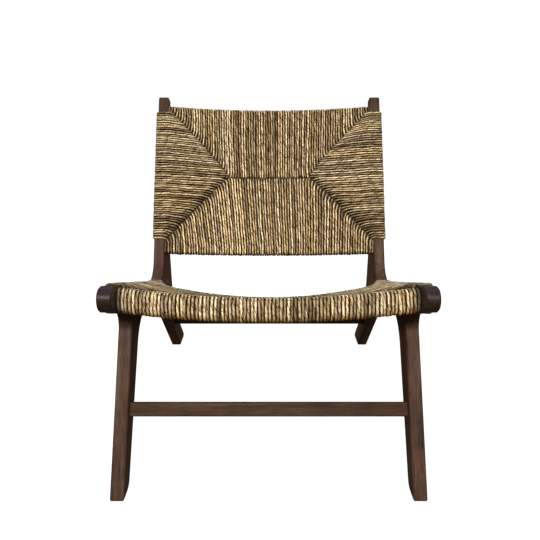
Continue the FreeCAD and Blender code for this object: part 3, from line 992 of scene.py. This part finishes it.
def ease_edges(shown):
    """Rounds the arrises a little and smooths the shading over them."""
    weld = shown.modifiers.new("weld", "WELD")
    weld.merge_threshold = WELD_DISTANCE
    bevel = shown.modifiers.new("bevel", "BEVEL")
    bevel.width = BEVEL_WIDTH
    bevel.segments = BEVEL_SEGMENTS
    bevel.limit_method = "ANGLE"
    bevel.angle_limit = math.radians(BEVEL_ANGLE)
    normals = shown.modifiers.new("normals", "WEIGHTED_NORMAL")
    normals.keep_sharp = False


for node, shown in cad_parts.items():
    kind = node.replace("_left", "").replace("_right", "")
    if kind in SHOWN or kind in HIDDEN:
        shown.data.materials.clear()
        shown.data.materials.append(woods.get(kind, hidden_wood))
    if kind in SHOWN:
        ease_edges(shown)

# Woven seat and back
cord = cord_material()
gap_shade_filling = gap_shade_stuffing_material()
rng = np.random.default_rng(SEED)
for panel in PANELS:
    made = weave(panel, cord, rng)
    made.append(stuffing(panel, gap_shade_filling))
    for piece in made:
        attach(piece, "root")
        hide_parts(f"{panel['name']}_weave")

# Studio in metres: a pale disc that turns up into a round wall
FLOOR_RADIUS = 3.4
COVE_RADIUS = 1.6
COVE_STEPS = 9
WALL_TOP = 5.0
FLOOR_SIDES = 72
PALE = {
    "Base Color": (0.20, 0.20, 0.19, 1),
    "Roughness": 0.95,
    "Specular IOR Level": 0.0,
    "Emission Color": (1, 1, 1, 1),
    "Emission Strength": 0.93,
}


def studio_floor():
    """The floor, which is seen by the camera but throws no light or shadow back."""
    profile = [(0.0, 0.0), (FLOOR_RADIUS, 0.0)]
    for angle in np.linspace(0, math.pi / 2, COVE_STEPS + 1)[1:]:
        profile.append((FLOOR_RADIUS + COVE_RADIUS * math.sin(angle), COVE_RADIUS * (1 - math.cos(angle))))
    profile.append((FLOOR_RADIUS + COVE_RADIUS, WALL_TOP))
    verts = []
    faces = []
    for distance, height in profile:
        for index in range(FLOOR_SIDES):
            angle = 2 * math.pi * index / FLOOR_SIDES
            verts.append((distance * math.cos(angle), distance * math.sin(angle), height))
    for row in range(len(profile) - 1):
        for index in range(FLOOR_SIDES):
            a = row * FLOOR_SIDES + index
            b = row * FLOOR_SIDES + (index + 1) % FLOOR_SIDES
            faces.append((a, a + FLOOR_SIDES, b + FLOOR_SIDES, b))
    floor = smooth_surface("floor", verts, faces)
    floor.visible_diffuse = False
    floor.visible_glossy = False
    floor.visible_shadow = False
    pale, _, shader = new_material("pale_floor")
    set_values(shader, PALE)
    floor.data.materials.append(pale)
    return floor


floor = studio_floor()

# Light from all around, from straight below to straight above
SKY_STOPS = ((0.35, (0.110, 0.070, 0.040)), (0.52, (0.17, 0.165, 0.16)), (0.92, (0.34, 0.42, 0.62)))
SKY_RANGE = (-1.0, 1.0, 0.0, 1.0)


def studio_world():
    """Soft light from all around: dim from below, a little brighter and bluer from above."""
    world = bpy.data.worlds.new("studio")
    bpy.context.scene.world = world
    world.use_nodes = True
    tree = world.node_tree
    height = axes(tree, add(tree, "ShaderNodeTexCoord").outputs["Generated"])["Z"]
    colour = ramped(tree, spread(tree, height, SKY_RANGE), SKY_STOPS)
    tree.links.new(colour, tree.nodes["Background"].inputs["Color"])


studio_world()

# Lights in metres and watts; the rear ones fill the reverse of the chair and leave no glint on its front
CHAIR_MIDDLE = (0, 0, 0.4)
REAR = {"aim": CHAIR_MIDDLE, "size": (1.2, 1.4), "power": 34, "colour": (1.0, 0.99, 0.93), "glint": False}
LIGHTS = {
    "key": {
        "place": (-0.10, -2.38, 2.01),
        "aim": CHAIR_MIDDLE,
        "size": (1.7, 0.50),
        "power": 106,
        "colour": (1.0, 0.98, 0.95),
        "glint": True,
    },
    "rear_left": {"place": (-1.7, 2.1, 2.1), **REAR},
    "rear_right": {"place": (1.7, 2.1, 2.1), **REAR},
    "top": {
        "place": (0.2, 0.2, 3.0),
        "aim": (0, 0, 0.3),
        "size": (1.6, 1.6),
        "power": 10,
        "colour": (0.88, 0.93, 1.0),
        "glint": True,
    },
}


def area_light(name, light):
    """A rectangular light that the camera doesn't see."""
    data = bpy.data.lights.new(name, "AREA")
    data.shape = "RECTANGLE"
    data.size, data.size_y = light["size"]
    data.energy = light["power"]
    data.color = light["colour"]
    lamp = put(name, data)
    lamp.location = light["place"]
    lamp.rotation_mode = "QUATERNION"
    lamp.rotation_quaternion = (Vector(light["aim"]) - Vector(light["place"])).to_track_quat("-Z", "Y")
    lamp.visible_camera = False
    lamp.visible_glossy = light["glint"]


for name, light in LIGHTS.items():
    area_light(name, light)

bpy.context.scene.view_settings.view_transform = "Standard"

# The photograph's angle: a level camera in front, tilted down. The photo's width and the focal length in
# pixels, the sensor and the camera's place in millimetres, and its tilt in degrees.
PHOTO_PIXELS = 540
FOCAL_PIXELS = 500.6
SENSOR = 36
CAMERA_X = 2.5
CAMERA_AHEAD = 864.4
CAMERA_HEIGHT = 752.8
CAMERA_TILT = 18.885

camera_data = bpy.data.cameras.new("camera")
camera_data.sensor_width = SENSOR
camera_data.lens = FOCAL_PIXELS / PHOTO_PIXELS * SENSOR
camera = put("camera", camera_data)
camera.location = (CAMERA_X * MM, (NOSE_Y - CAMERA_AHEAD) * MM, CAMERA_HEIGHT * MM)
camera.rotation_euler = (math.radians(90 - CAMERA_TILT), 0, 0)
bpy.context.scene.camera = camera
